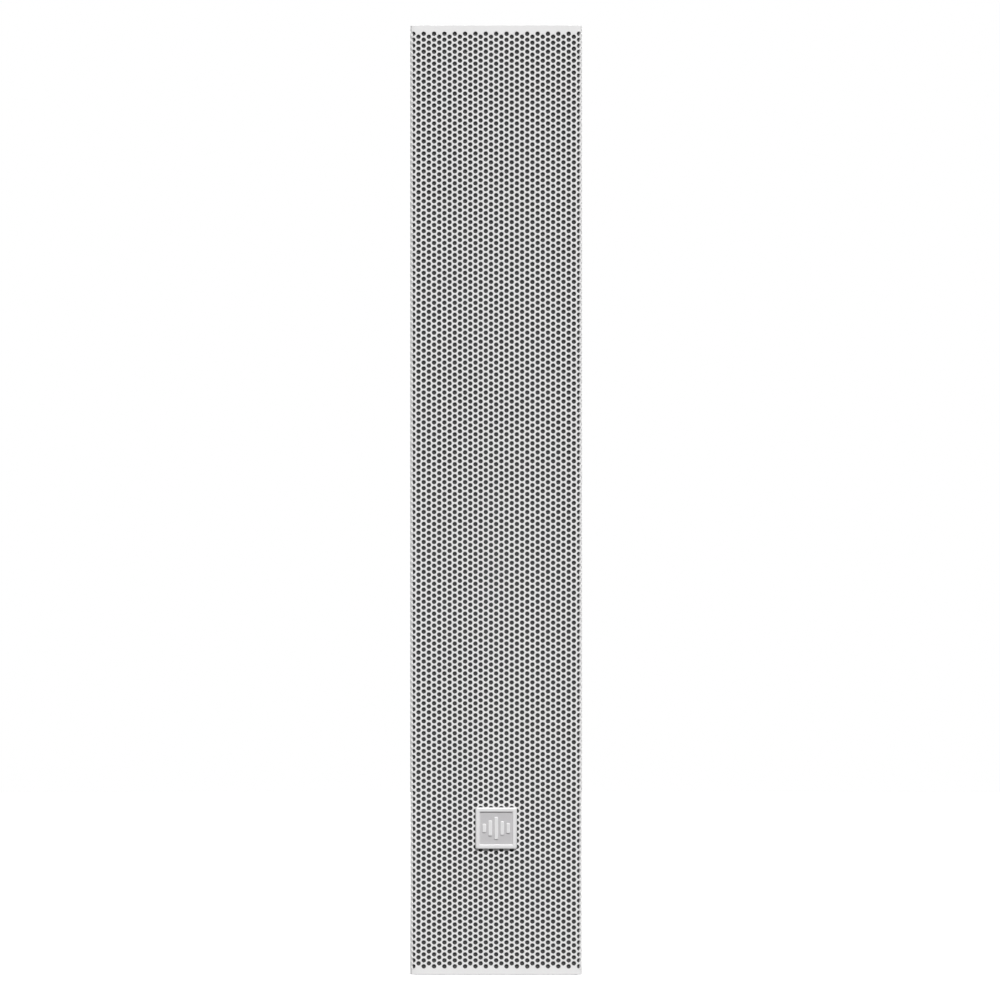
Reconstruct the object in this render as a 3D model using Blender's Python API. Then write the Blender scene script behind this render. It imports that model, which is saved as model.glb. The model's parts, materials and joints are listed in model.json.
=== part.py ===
"""Slim column loudspeaker: six small drivers in an extruded aluminium cabinet, on a wall bracket.

Frame: +Z is up, the grille faces -Y, and +X is to the right of someone facing the grille.
The origin is the centre of the cabinet's lower end, on the surface that it can stand on.
Every named size is in millimetres; add_mesh turns it into metres.
"""
import math

import bmesh
import bpy

MM = 0.001
GAP = 0.3                       # clearance between pieces that touch

# Cabinet
WIDTH, DEPTH, HEIGHT = 100.5, 104.0, 556.0
FRONT, REAR = -DEPTH / 2, DEPTH / 2
WALL = 2.2                      # wall of the extrusion
CAP = 5.0                       # thickness of an end cap
REAR_RADIUS = 10.0
SIDE_FRONT = FRONT + 5.0        # front edge of the extrusion's side walls
REBATE = -27.7                  # where the sides step in to leave room for the grille's legs
REBATE_WIDTH = 96.0             # width across the stepped-in part

# Grille: a U-shaped sheet over the front and the front part of the sides
SHEET = 1.2
BEND = 2.0
LEG_END = REBATE - GAP
CLOTH = 0.4
CLOTH_MARGIN = 1.0              # the cloth stops this far short of the cabinet's ends
CAP_INSET = SHEET + CLOTH + 2 * GAP     # from the grille's outer face to a cap's edge
CAP_CORNER = 1.0

# Baffle, on ledges inside the extrusion
BAFFLE_FRONT, BAFFLE_BACK = -43.0, -40.0
LEDGE_WIDTH = 82.0
LEDGE = 2.0

# Slots with a T section along the rear, for the bracket's nuts
SLOT_X = 30.0
SLOT_MOUTH, SLOT_WIDTH, SLOT_LIP, SLOT_DEPTH, SLOT_WALL = 6.4, 11.4, 2.0, 3.8, 1.8

# Split bosses that take the cap screws
BOSS_X, BOSS_Y, BOSS_RADIUS, BOSS_BORE, BOSS_SPLIT = 44.6, 10.0, 4.2, 1.7, 30.0
SCREW_SHANK, SCREW_LENGTH, SCREW_HEAD, SCREW_HEAD_HEIGHT = 1.4, 14.0, 3.3, 1.8
COUNTERBORE, COUNTERBORE_DEPTH = 3.6, 2.4

# Badge, low on the grille
BADGE, BADGE_Z, BADGE_BORDER, BADGE_PLATE, BADGE_RIM, BADGE_MARK = 24.3, 86.0, 2.7, 1.0, 1.9, 1.6

# Drivers
DRIVERS, DRIVER_PITCH, DRIVER_SIDES = 6, 88.0, 16
CUTOUT = 36.0                   # radius of a hole in the baffle
CONE_EDGE, COIL_OUTER, COIL_INNER = 27.5, 9.4, 8.6
MOTOR_RADIUS = 20.0

# Connection panel, low on the rear
PANEL_Z, PANEL_WIDTH, PANEL_HEIGHT = 66.0, 44.0, 66.0
DISH_WIDTH, DISH_HEIGHT, DISH_WALL = 37.4, 59.4, 1.8
DISH_FLOOR = 36.0               # y of the floor that the connector stands on
PANEL_FLANGE = 2.0
HEADER_Z, KNOB_Z = 50.0, 80.0
SHAFT_RADIUS, SHAFT_HOLE = 3.0, 3.5

# Transformer, behind the drivers
TRANSFORMER_Z = 138.0

# Wall bracket
BRACKET_Z = 280.0
PLATE = 3.0
TILT_Y, PAN_Y, WALL_Y = 72.0, 95.0, 115.0
EAR_INNER, ARM_HALF_WIDTH = 12.0, 11.7
BOLT_RADIUS, BOLT_HOLE = 3.0, 3.4
TONGUE = 7.0                    # half the thickness of the arm's tongue

# Colour, roughness and metallic value of each finish
FINISHES = {
    "white_powder_coat": ((0.72, 0.71, 0.71, 1.0), 0.50, 0.0),
    "white_plastic": ((0.70, 0.70, 0.69, 1.0), 0.45, 0.0),
    "badge_metal": ((0.60, 0.60, 0.61, 1.0), 0.35, 0.6),
    "grey_cloth": ((0.16, 0.16, 0.16, 1.0), 0.95, 0.0),
    "black_plastic": ((0.03, 0.03, 0.03, 1.0), 0.50, 0.0),
    "black_steel": ((0.05, 0.05, 0.05, 1.0), 0.45, 0.6),
    "ferrite": ((0.09, 0.09, 0.10, 1.0), 0.60, 0.1),
    "paper_cone": ((0.06, 0.06, 0.06, 1.0), 0.85, 0.0),
    "surround_rubber": ((0.04, 0.04, 0.04, 1.0), 0.70, 0.0),
    "spider_cloth": ((0.45, 0.33, 0.16, 1.0), 0.90, 0.0),
    "zinc_steel": ((0.62, 0.63, 0.65, 1.0), 0.30, 1.0),
    "wadding": ((0.75, 0.75, 0.72, 1.0), 1.00, 0.0),
    "circuit_board": ((0.05, 0.22, 0.10, 1.0), 0.40, 0.0),
    "connector_green": ((0.05, 0.35, 0.14, 1.0), 0.45, 0.0),
    "core_steel": ((0.22, 0.22, 0.24, 1.0), 0.50, 0.8),
    "winding_tape": ((0.70, 0.55, 0.12, 1.0), 0.60, 0.0),
    "wire_sleeve": ((0.05, 0.05, 0.05, 1.0), 0.60, 0.0),
}


# ---------------------------------------------------------------- helpers

def finish(name):
    """Return the material called name, made the first time that it is asked for."""
    material = bpy.data.materials.get(name)
    if material is None:
        colour, roughness, metallic = FINISHES[name]
        material = bpy.data.materials.new(name)
        material.use_nodes = True
        shader = material.node_tree.nodes["Principled BSDF"]
        shader.inputs["Base Color"].default_value = colour
        shader.inputs["Roughness"].default_value = roughness
        shader.inputs["Metallic"].default_value = metallic
        material.diffuse_color = colour
    return material


def add_mesh(name, points, faces, material, place=(0, 0, 0)):
    """Add a closed mesh object, smooth where its faces meet gently; points are about place."""
    mesh = bpy.data.meshes.new(name)
    mesh.from_pydata([[MM * value for value in point] for point in points], [], faces)
    shape = bmesh.new()
    shape.from_mesh(mesh)
    bmesh.ops.recalc_face_normals(shape, faces=shape.faces)
    shape.to_mesh(mesh)
    shape.free()
    mesh.shade_smooth()
    mesh.set_sharp_from_angle(angle=math.radians(35))
    mesh.materials.append(finish(material))
    item = bpy.data.objects.new(name, mesh)
    item.location = [MM * value for value in place]
    bpy.context.scene.collection.objects.link(item)
    return item


def hide(item):
    """Keep a cutter, or a shape that a union has taken in, out of the model."""
    item.hide_render = True
    item.display_type = "WIRE"
    return item


def combine(target, operation, others):
    """Cut others from target, or join them to it."""
    for other in others:
        change = target.modifiers.new(operation.lower(), "BOOLEAN")
        change.operation = operation
        change.solver = "EXACT"
        change.object = hide(other)
    return target


def arc(centre, radius, start, end, steps):
    """Points along an arc, its angles in degrees."""
    angles = [math.radians(start + (end - start) * step / steps) for step in range(steps + 1)]
    return [(centre[0] + radius * math.cos(a), centre[1] + radius * math.sin(a)) for a in angles]


def mirrored(points):
    """The same outline points on the other side of the centre line, in reverse."""
    return [(-u, v) for u, v in reversed(points)]


def rounded_rectangle(width, height, radius, steps=3):
    """Outline of a rectangle about the origin with round corners."""
    u, v = width / 2 - radius, height / 2 - radius
    corners = [((u, v), 0), ((-u, v), 90), ((-u, -v), 180), ((u, -v), 270)]
    return [point for centre, turn in corners for point in arc(centre, radius, turn, turn + 90, steps)]


# How an outline's two values and the height along the third axis become x, y and z
TURN = {
    "X": lambda u, v, along: (along, u, v),
    "Y": lambda u, v, along: (u, along, v),
    "Z": lambda u, v, along: (u, v, along),
}


def loft(name, rings, axis, material, place=(0, 0, 0)):
    """Join outlines of equal length into a closed solid; each ring is (outline, height)."""
    count = len(rings[0][0])
    points = [TURN[axis](u, v, along) for outline, along in rings for u, v in outline]
    faces = [list(range(count)), list(range(len(points) - count, len(points)))]
    for ring in range(len(rings) - 1):
        for i in range(count):
            j = (i + 1) % count
            low, high = ring * count, (ring + 1) * count
            faces.append([low + i, low + j, high + j, high + i])
    return add_mesh(name, points, faces, material, place)


def extrude(name, outline, low, high, axis, material, place=(0, 0, 0)):
    """A prism of the outline from low to high along axis."""
    return loft(name, [(outline, low), (outline, high)], axis, material, place)


def block(name, low, high, material):
    """A plain box between two corners."""
    outline = [(low[0], low[1]), (high[0], low[1]), (high[0], high[1]), (low[0], high[1])]
    return extrude(name, outline, low[2], high[2], "Z", material)


def turned(name, profile, axis, material, place=(0, 0, 0), sides=DRIVER_SIDES, window=None):
    """Turn a closed profile of (radius, height) points about axis.

    window is ((outer edge, inner edge), opened): it leaves the opened segments of a shell's wall
    out between the outer and the inner profile edge, which run in opposite directions.
    """
    points, rings = [], []
    for radius, along in profile:
        count = sides if radius > 0 else 1
        rings.append([len(points) + i % count for i in range(sides)])
        for i in range(count):
            angle = 2 * math.pi * (i + 0.5) / sides
            points.append(TURN[axis](radius * math.cos(angle), radius * math.sin(angle), along))
    on_axis = [radius == 0 for radius, along in profile]
    edges, opened = window if window else ((), ())
    faces = []
    for k in range(len(profile)):
        first, second = rings[k], rings[(k + 1) % len(profile)]
        if on_axis[k] and on_axis[(k + 1) % len(profile)]:
            continue
        for i in range(sides):
            j = (i + 1) % sides
            if k in edges and i in opened:
                continue
            corners = [first[i], first[j], second[j], second[i]]
            faces.append(list(dict.fromkeys(corners)))
    if window:
        outer, inner = edges
        front = (rings[outer], rings[inner + 1])
        back = (rings[outer + 1], rings[inner])
        for i in range(sides):
            j = (i + 1) % sides
            if i in opened:
                for a, b in (front, back):
                    faces.append([a[i], a[j], b[j], b[i]])
                if (i - 1) % sides not in opened:
                    faces.append([front[0][i], back[0][i], back[1][i], front[1][i]])
                if j not in opened:
                    faces.append([front[0][j], back[0][j], back[1][j], front[1][j]])
    return add_mesh(name, points, faces, material, place)


def rod(name, radius, low, high, axis, place=(0, 0, 0), material="zinc_steel", sides=12):
    """A plain round bar, used as a cutter for holes and as a part of larger pieces."""
    profile = [(0, low), (radius, low), (radius, high), (0, high)]
    return turned(name, profile, axis, material, place, sides)


# ---------------------------------------------------------------- cabinet

def enclosure():
    """The extrusion: a C section with baffle ledges, split bosses and two T slots."""
    half, inner = WIDTH / 2, WIDTH / 2 - WALL
    front_half = REBATE_WIDTH / 2
    front_inner = front_half - WALL
    corner = (half - REAR_RADIUS, REAR - REAR_RADIUS)
    floor = REAR - SLOT_LIP - SLOT_DEPTH
    outer_side = [(front_half, SIDE_FRONT), (front_half, REBATE), (half, REBATE)]
    outer_side += arc(corner, REAR_RADIUS, 0, 90, 6)
    outer_side += [
        (SLOT_X + SLOT_MOUTH / 2, REAR),
        (SLOT_X + SLOT_MOUTH / 2, REAR - SLOT_LIP),
        (SLOT_X + SLOT_WIDTH / 2, REAR - SLOT_LIP),
        (SLOT_X + SLOT_WIDTH / 2, floor),
        (SLOT_X - SLOT_WIDTH / 2, floor),
        (SLOT_X - SLOT_WIDTH / 2, REAR - SLOT_LIP),
        (SLOT_X - SLOT_MOUTH / 2, REAR - SLOT_LIP),
        (SLOT_X - SLOT_MOUTH / 2, REAR),
    ]
    ledge_front = BAFFLE_BACK + GAP
    inner_side = [
        (front_inner, SIDE_FRONT),
        (front_inner, ledge_front),
        (LEDGE_WIDTH / 2, ledge_front),
        (LEDGE_WIDTH / 2, ledge_front + LEDGE),
        (front_inner, ledge_front + LEDGE),
        (front_inner, REBATE + WALL),
        (inner, REBATE + WALL),
    ]
    boss = (BOSS_X, BOSS_Y)
    meet = math.degrees(math.acos((inner - BOSS_X) / BOSS_RADIUS))
    split = 180 - BOSS_SPLIT
    inner_side += arc(boss, BOSS_RADIUS, -meet, -split, 5)
    inner_side += arc(boss, BOSS_BORE, -split, split, 10)
    inner_side += arc(boss, BOSS_RADIUS, split, meet, 5)
    inner_side += arc(corner, REAR_RADIUS - WALL, 0, 90, 4)
    bulge = SLOT_WIDTH / 2 + SLOT_WALL
    inner_side += [
        (SLOT_X + bulge, REAR - WALL),
        (SLOT_X + bulge, floor - SLOT_WALL),
        (SLOT_X - bulge, floor - SLOT_WALL),
        (SLOT_X - bulge, REAR - WALL),
    ]
    outline = outer_side + mirrored(outer_side)
    outline += [(-u, v) for u, v in inner_side] + list(reversed(inner_side))
    shell = extrude("enclosure", outline, CAP + GAP, HEIGHT - CAP - GAP, "Z", "white_powder_coat")
    opening = rounded_rectangle(DISH_WIDTH + 2 * GAP, DISH_HEIGHT + 2 * GAP, 1.5, 2)
    hole = extrude("panel_opening", opening, REAR - 5, REAR + 5, "Y", "white_plastic", (0, 0, PANEL_Z))
    combine(shell, "DIFFERENCE", [hole])


def end_cap(name, outer, inward):
    """A flat cap that fills the end inside the cloth; outer is its outside face."""
    corner = (WIDTH / 2 - CAP_INSET - CAP_CORNER, FRONT + CAP_INSET + CAP_CORNER)
    side = arc(corner, CAP_CORNER, -90, 0, 3)
    side += [(WIDTH / 2 - CAP_INSET, REBATE), (WIDTH / 2, REBATE)]
    side += arc((WIDTH / 2 - REAR_RADIUS, REAR - REAR_RADIUS), REAR_RADIUS, 0, 90, 5)
    low, high = sorted((outer, outer + inward * CAP))
    cap = extrude(name, side + mirrored(side), low, high, "Z", "white_plastic")
    step = outer + inward * COUNTERBORE_DEPTH
    profile = [
        (0, outer - inward), (COUNTERBORE, outer - inward), (COUNTERBORE, step),
        (BOSS_BORE, step), (BOSS_BORE, outer + inward * (CAP + 1)), (0, outer + inward * (CAP + 1)),
    ]
    holes = [turned(f"{name}_hole_{x:+.0f}", profile, "Z", "white_plastic", (x, BOSS_Y, 0), 12)
             for x in (-BOSS_X, BOSS_X)]
    combine(cap, "DIFFERENCE", holes)
    head = outer + inward * GAP
    seat = head + inward * SCREW_HEAD_HEIGHT
    recess = head + inward * SCREW_HEAD_HEIGHT / 2
    tip = outer + inward * SCREW_LENGTH
    screw = [
        (0, recess), (1.2, recess), (1.2, head), (SCREW_HEAD, head), (SCREW_HEAD, seat),
        (SCREW_SHANK, seat), (SCREW_SHANK, tip), (0, tip),
    ]
    for side_name, x in (("left", -BOSS_X), ("right", BOSS_X)):
        turned(f"{name}_screw_{side_name}", screw, "Z", "zinc_steel", (x, BOSS_Y, 0), 12)


def wrapped_sheet(name, depth, thickness, low, high, material):
    """A sheet over the front and both rebates, its outer face depth behind the grille's."""
    bend = (WIDTH / 2 - BEND, FRONT + BEND)
    radius = BEND - depth
    side = arc(bend, radius, -90, 0, 6)
    side += [(bend[0] + radius, LEG_END), (bend[0] + radius - thickness, LEG_END)]
    side += arc(bend, radius - thickness, 0, -90, 6)
    extrude(name, side + mirrored(side), low, high, "Z", material)


def grille():
    """The front sheet and the cloth behind it."""
    wrapped_sheet("grille", 0.0, SHEET, GAP, HEIGHT - GAP, "white_powder_coat")
    wrapped_sheet("grille_cloth", SHEET + GAP, CLOTH, CLOTH_MARGIN, HEIGHT - CLOTH_MARGIN, "grey_cloth")


def badge():
    """A square plate with a raised rim and a plain raised mark of five level bars."""
    back = FRONT - GAP
    square = {inset: rounded_rectangle(BADGE - 2 * inset, BADGE - 2 * inset, 1.0, 2)
              for inset in (0.0, 0.7, BADGE_BORDER - 0.6, BADGE_BORDER)}
    rings = [
        (square[0.0], back),
        (square[0.0], back - BADGE_PLATE),
        (square[0.7], back - BADGE_RIM),
        (square[BADGE_BORDER - 0.6], back - BADGE_RIM),
        (square[BADGE_BORDER], back - BADGE_PLATE),
    ]
    plate = loft("badge", rings, "Y", "badge_metal", (0, 0, BADGE_Z))
    bars = []
    for place, height in enumerate((5.0, 9.0, 13.0, 8.0, 6.0)):
        x = 3.5 * (place - 2)
        outline = rounded_rectangle(2.2, height, 0.5, 2)
        bars.append(extrude(f"level_bar_{place}", outline, back - BADGE_MARK, back - BADGE_PLATE / 2,
                            "Y", "badge_metal", (x, 0, BADGE_Z)))
    combine(plate, "UNION", bars)


def driver_heights():
    """Height of each driver's axis, lowest first."""
    return [HEIGHT / 2 + DRIVER_PITCH * (number - (DRIVERS - 1) / 2) for number in range(DRIVERS)]


def baffle():
    """The plate that carries the drivers."""
    half = REBATE_WIDTH / 2 - WALL - 0.5
    low, high = CAP + 2 * GAP, HEIGHT - CAP - 2 * GAP
    plate = block("baffle", (-half, BAFFLE_FRONT, low), (half, BAFFLE_BACK, high), "black_steel")
    holes = [rod(f"cutout_{number}", CUTOUT, BAFFLE_FRONT - 5, BAFFLE_BACK + 5, "Y", (0, 0, z), sides=24)
             for number, z in enumerate(driver_heights(), 1)]
    combine(plate, "DIFFERENCE", holes)


def foam():
    """Polyester wadding in front of the rear wall, above the transformer."""
    back = REAR - SLOT_LIP - SLOT_DEPTH - SLOT_WALL - GAP
    block("acoustic_foam", (-45.0, back - 20.0, 168.0), (45.0, back, 545.0), "wadding")


# ---------------------------------------------------------------- drivers

def driver(number, z):
    """One driver; its heights are measured back from the face of the baffle."""
    place = (0, BAFFLE_FRONT, z)
    # A basket with four windows, a ledge for the spider and a seat for the motor
    basket = [
        (39.5, -2.3), (39.5, -GAP), (34.8, -GAP), (34.8, 3.3), (27.7, 12.0), (27.7, 14.8),
        (MOTOR_RADIUS, 14.8), (MOTOR_RADIUS, 24.0), (11.0, 24.0), (11.0, 22.5),
        (18.5, 22.5), (18.5, 13.3), (26.2, 13.3), (26.2, 12.0), (33.2, 3.3), (33.2, -2.3),
    ]
    opened = [i for i in range(DRIVER_SIDES) if i % 4 != 3]
    turned(f"driver_frame_{number}", basket, "Y", "black_steel", place, window=((3, 13), opened))
    # Front plate, magnet ring, back plate and pole, with the gap for the coil
    motor = [
        (0, 38.3), (MOTOR_RADIUS, 38.3), (MOTOR_RADIUS, 24.3), (9.8, 24.3), (9.8, 27.3),
        (11.5, 27.3), (11.5, 35.3), (8.2, 35.3), (8.2, 24.0), (0, 24.0),
    ]
    turned(f"magnet_{number}", motor, "Y", "ferrite", place)
    # Dust cap, cone and coil former in one turned piece
    cone = [
        (0, 3.2), (6.0, 4.6), (10.4, 8.0), (CONE_EDGE, -1.8), (CONE_EDGE, -1.0),
        (COIL_OUTER, 10.6), (COIL_OUTER, 29.5), (COIL_INNER, 29.5), (COIL_INNER, 9.4),
        (5.0, 5.8), (0, 4.4),
    ]
    turned(f"cone_{number}", cone, "Y", "paper_cone", place)
    # Half-round roll between the cone and the front of the basket
    inner, outer, depth = CONE_EDGE + GAP, 36.8, -2.6
    middle, roll, skin = 30.4, 2.6, 0.7
    surround = arc((middle, depth), roll, -180, -15, 4)
    surround += [(outer, depth - skin), (outer, depth)]
    surround += arc((middle, depth), roll - skin, 0, -180, 3)
    surround += [(inner + skin, -1.2), (inner, -1.2)]
    turned(f"surround_{number}", surround, "Y", "surround_rubber", place)
    # Corrugated disc that centres the coil
    waves = [(25.8, 12.1), (22.5, 12.1), (18.5, 10.8), (14.0, 12.1), (COIL_OUTER + GAP, 11.4)]
    spider = waves + [(radius, height + 0.9) for radius, height in reversed(waves)]
    turned(f"spider_{number}", spider, "Y", "spider_cloth", place)


# ---------------------------------------------------------------- electrics

def connection_panel():
    """A dished panel with a plug-in connector and a power selector, and the board behind it."""
    outer = DISH_FLOOR - DISH_WALL
    back = REAR + GAP
    dish = rounded_rectangle(DISH_WIDTH, DISH_HEIGHT, 1.5, 2)
    inside = rounded_rectangle(DISH_WIDTH - 2 * DISH_WALL, DISH_HEIGHT - 2 * DISH_WALL, 1.0, 2)
    flange = rounded_rectangle(PANEL_WIDTH, PANEL_HEIGHT, 3.0, 2)
    rings = [
        (dish, outer), (dish, back), (flange, back), (flange, back + PANEL_FLANGE),
        (inside, back + PANEL_FLANGE), (inside, DISH_FLOOR),
    ]
    panel = loft("terminal_panel", rings, "Y", "black_plastic", (0, 0, PANEL_Z))
    header_hole = rounded_rectangle(22.0 + 2 * GAP, 8.4 + 2 * GAP, 0.4, 1)
    combine(panel, "DIFFERENCE", [
        extrude("header_hole", header_hole, outer - 2, DISH_FLOOR + 2, "Y", "black_plastic",
                (0, 0, HEADER_Z)),
        rod("shaft_hole", SHAFT_HOLE, outer - 2, DISH_FLOOR + 2, "Y", (0, 0, KNOB_Z)),
    ])
    board_front = outer - GAP
    board_back = board_front - 1.6
    board = block("network_board", (-17.0, board_back, 38.0), (17.0, board_front, 94.0), "circuit_board")
    combine(board, "DIFFERENCE",
            [rod("board_hole", SHAFT_HOLE, board_back - 2, board_front + 2, "Y", (0, 0, KNOB_Z))])
    shroud = [
        (rounded_rectangle(22.0, 8.4, 0.4, 1), board_front + GAP),
        (rounded_rectangle(22.0, 8.4, 0.4, 1), 44.0),
        (rounded_rectangle(20.4, 6.8, 0.3, 1), 44.0),
        (rounded_rectangle(20.4, 6.8, 0.3, 1), 36.4),
    ]
    loft("input_header", shroud, "Y", "connector_green", (0, 0, HEADER_Z))
    plug = loft("input_plug", [
        (rounded_rectangle(19.6, 6.0, 0.3, 1), 36.9),
        (rounded_rectangle(19.6, 6.0, 0.3, 1), 44.4),
        (rounded_rectangle(22.0, 10.6, 0.4, 1), 44.4),
        (rounded_rectangle(22.0, 10.6, 0.4, 1), 53.0),
    ], "Y", "connector_green", (0, 0, HEADER_Z))
    pitch = 5.08
    combine(plug, "DIFFERENCE", [
        rod(f"wire_entry_{way}", 1.6, 46.0, 55.0, "Y", (pitch * (way - 1.5), 0, HEADER_Z), sides=8)
        for way in range(4)
    ])
    switch_back, switch_front = board_back - GAP - 11.0, board_back - GAP
    body = rounded_rectangle(20.0, 20.0, 1.0, 1)
    switch = extrude("selector_switch", body, switch_back, switch_front, "Y", "black_plastic",
                     (0, 0, KNOB_Z))
    combine(switch, "DIFFERENCE", [
        rod("switch_bore", SHAFT_HOLE, switch_back + 1.5, switch_front + 2, "Y", (0, 0, KNOB_Z)),
    ])
    knob_low, knob_high, knob_radius = DISH_FLOOR + 0.5, DISH_FLOOR + 9.0, 7.5
    knob = turned("selector_knob", [
        (0, switch_back + 2.5), (SHAFT_RADIUS, switch_back + 2.5), (SHAFT_RADIUS, knob_low),
        (knob_radius, knob_low), (knob_radius - 0.6, knob_high), (0, knob_high),
    ], "Y", "black_plastic", (0, 0, KNOB_Z))
    slot = block("knob_slot", (-0.9, knob_high - 1.2, KNOB_Z - 10), (0.9, knob_high + 2, KNOB_Z + 10),
                 "black_plastic")
    combine(knob, "DIFFERENCE", [slot])


def transformer():
    """An E-I core lying across the cabinet, with its coil round the middle leg."""
    z = TRANSFORMER_Z
    window_half, stack = 13.0, 8.0
    rows = ((19.5, 26.0), (38.0, 44.5))
    core = block("transformer_core", (-21.0, 14.0, z - stack), (21.0, 49.3, z + stack), "core_steel")
    combine(core, "DIFFERENCE", [
        block(f"core_window_{number}", (-window_half, low, z - 12), (window_half, high, z + 12), "core_steel")
        for number, (low, high) in enumerate(rows)
    ])
    leg_low, leg_high = rows[0][1], rows[1][0]
    coil_low, coil_high = rows[0][0] + GAP, rows[1][1] - GAP
    depth = window_half - 0.5
    bulge = stack + 6.5
    coil = block("transformer_winding", (-depth, coil_low, z - bulge), (depth, coil_high, z + bulge),
                 "winding_tape")
    hole = block("winding_hole", (-depth - 2, leg_low - GAP, z - stack - GAP),
                 (depth + 2, leg_high + GAP, z + stack + GAP), "winding_tape")
    combine(coil, "DIFFERENCE", [hole])


def sleeve(name, start, end, radius):
    """A straight six-sided tube between two points."""
    axis = [b - a for a, b in zip(start, end)]
    length = math.sqrt(sum(value * value for value in axis))
    along = [value / length for value in axis]
    helper = (0, 0, 1) if abs(along[2]) < 0.9 else (1, 0, 0)
    side = [along[1] * helper[2] - along[2] * helper[1], along[2] * helper[0] - along[0] * helper[2],
            along[0] * helper[1] - along[1] * helper[0]]
    size = math.sqrt(sum(value * value for value in side))
    side = [value / size for value in side]
    other = [along[1] * side[2] - along[2] * side[1], along[2] * side[0] - along[0] * side[2],
             along[0] * side[1] - along[1] * side[0]]
    points = []
    for centre in (start, end):
        for u, v in arc((0, 0), radius, 0, 300, 5):
            points.append([centre[k] + u * side[k] + v * other[k] for k in range(3)])
    faces = [list(range(6)), list(range(6, 12))]
    faces += [[i, (i + 1) % 6, 6 + (i + 1) % 6, 6 + i] for i in range(6)]
    return add_mesh(name, points, faces, "wire_sleeve")


def wiring():
    """The loom: a trunk up one side with branches to the board, the transformer and each driver."""
    x, y = -36.0, 8.0
    heights = driver_heights()
    trunk = sleeve("wiring_loom", (x, y, heights[0] - 6.0), (x, y, heights[-1] + 6.0), 2.2)
    ends = [(-19.2, 27.5, 74.0), (-14.0, 24.0, TRANSFORMER_Z + 11.0)]
    ends += [(-21.8, BAFFLE_FRONT + 20.0, z) for z in heights]
    branches = [sleeve(f"branch_{number}", (x, y, end[2]), end, 1.2) for number, end in enumerate(ends)]
    combine(trunk, "UNION", branches)


# ---------------------------------------------------------------- wall bracket

def rounded_tab(base, centre, radius, axis_first=True):
    """Outline of a tab that runs from base to a round end about centre, in the tab's own plane."""
    points = arc((centre, 0), radius, -90, 90, 6) + [(base, radius), (base, -radius)]
    return points if axis_first else [(v, u) for u, v in points]


def cabinet_bracket():
    """The plate bolted to the T slots, with two ears for the tilt bolt."""
    back = REAR + GAP
    plate = extrude("cabinet_bracket", rounded_rectangle(78.0, 50.0, 4.0), back, back + PLATE, "Y",
                    "white_powder_coat", (0, 0, BRACKET_Z))
    ears = []
    for side in (-1, 1):
        low, high = sorted((side * EAR_INNER, side * (EAR_INNER + PLATE)))
        ears.append(extrude(f"ear_{side:+d}", rounded_tab(back + 1.0, TILT_Y, 9.0), low, high, "X",
                            "white_powder_coat", (0, 0, BRACKET_Z)))
    combine(plate, "UNION", ears)
    holes = [rod("tilt_hole", BOLT_HOLE, -25, 25, "X", (0, TILT_Y, BRACKET_Z))]
    holes += [rod(f"rail_hole_{x:+.0f}", BOLT_HOLE, back - 4, back + PLATE + 4, "Y", (x, 0, BRACKET_Z))
              for x in (-SLOT_X, SLOT_X)]
    combine(plate, "DIFFERENCE", holes)
    head = back + PLATE + GAP
    floor = REAR - SLOT_LIP - SLOT_DEPTH
    for name, x in (("left", -SLOT_X), ("right", SLOT_X)):
        place = (x, 0, BRACKET_Z)
        turned(f"rail_bolt_{name}", [
            (0, floor + 0.5), (BOLT_RADIUS - 0.4, floor + 0.5), (BOLT_RADIUS - 0.4, head), (5.2, head),
            (4.4, head + 3.2), (1.7, head + 3.2), (1.7, head + 1.4), (0, head + 1.4),
        ], "Y", "zinc_steel", place, 12)
        nut = extrude(f"rail_nut_{name}", rounded_rectangle(10.6, 14.0, 0.6, 1), floor + GAP,
                      REAR - SLOT_LIP - GAP, "Y", "zinc_steel", place)
        combine(nut, "DIFFERENCE", [
            rod(f"nut_bore_{name}", BOLT_RADIUS - 0.1, floor - 2, REAR, "Y", place)])


def swivel_arm():
    """The cast arm between the tilt bolt and the pan bolt."""
    place = (0, TILT_Y, BRACKET_Z)
    arm = rod("swivel_arm", 9.0, -ARM_HALF_WIDTH, ARM_HALF_WIDTH, "X", place, "white_powder_coat", 16)
    tongue = extrude("tongue", rounded_tab(TILT_Y, PAN_Y, 9.0, False), -TONGUE, TONGUE, "Z",
                     "white_powder_coat", (0, 0, BRACKET_Z))
    combine(arm, "UNION", [tongue])
    combine(arm, "DIFFERENCE", [
        rod("arm_tilt_hole", BOLT_HOLE, -20, 20, "X", place),
        rod("arm_pan_hole", BOLT_HOLE, -20, 20, "Z", (0, PAN_Y, BRACKET_Z)),
    ])
    lug = EAR_INNER + PLATE + GAP
    turned("tilt_bolt", [
        (0, -lug - 3.0), (BOLT_RADIUS, -lug - 3.0), (BOLT_RADIUS, lug), (5.5, lug), (5.5, lug + 4.2),
        (2.5, lug + 4.2), (2.5, lug + 1.8), (0, lug + 1.8),
    ], "X", "zinc_steel", place, 12)


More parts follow.
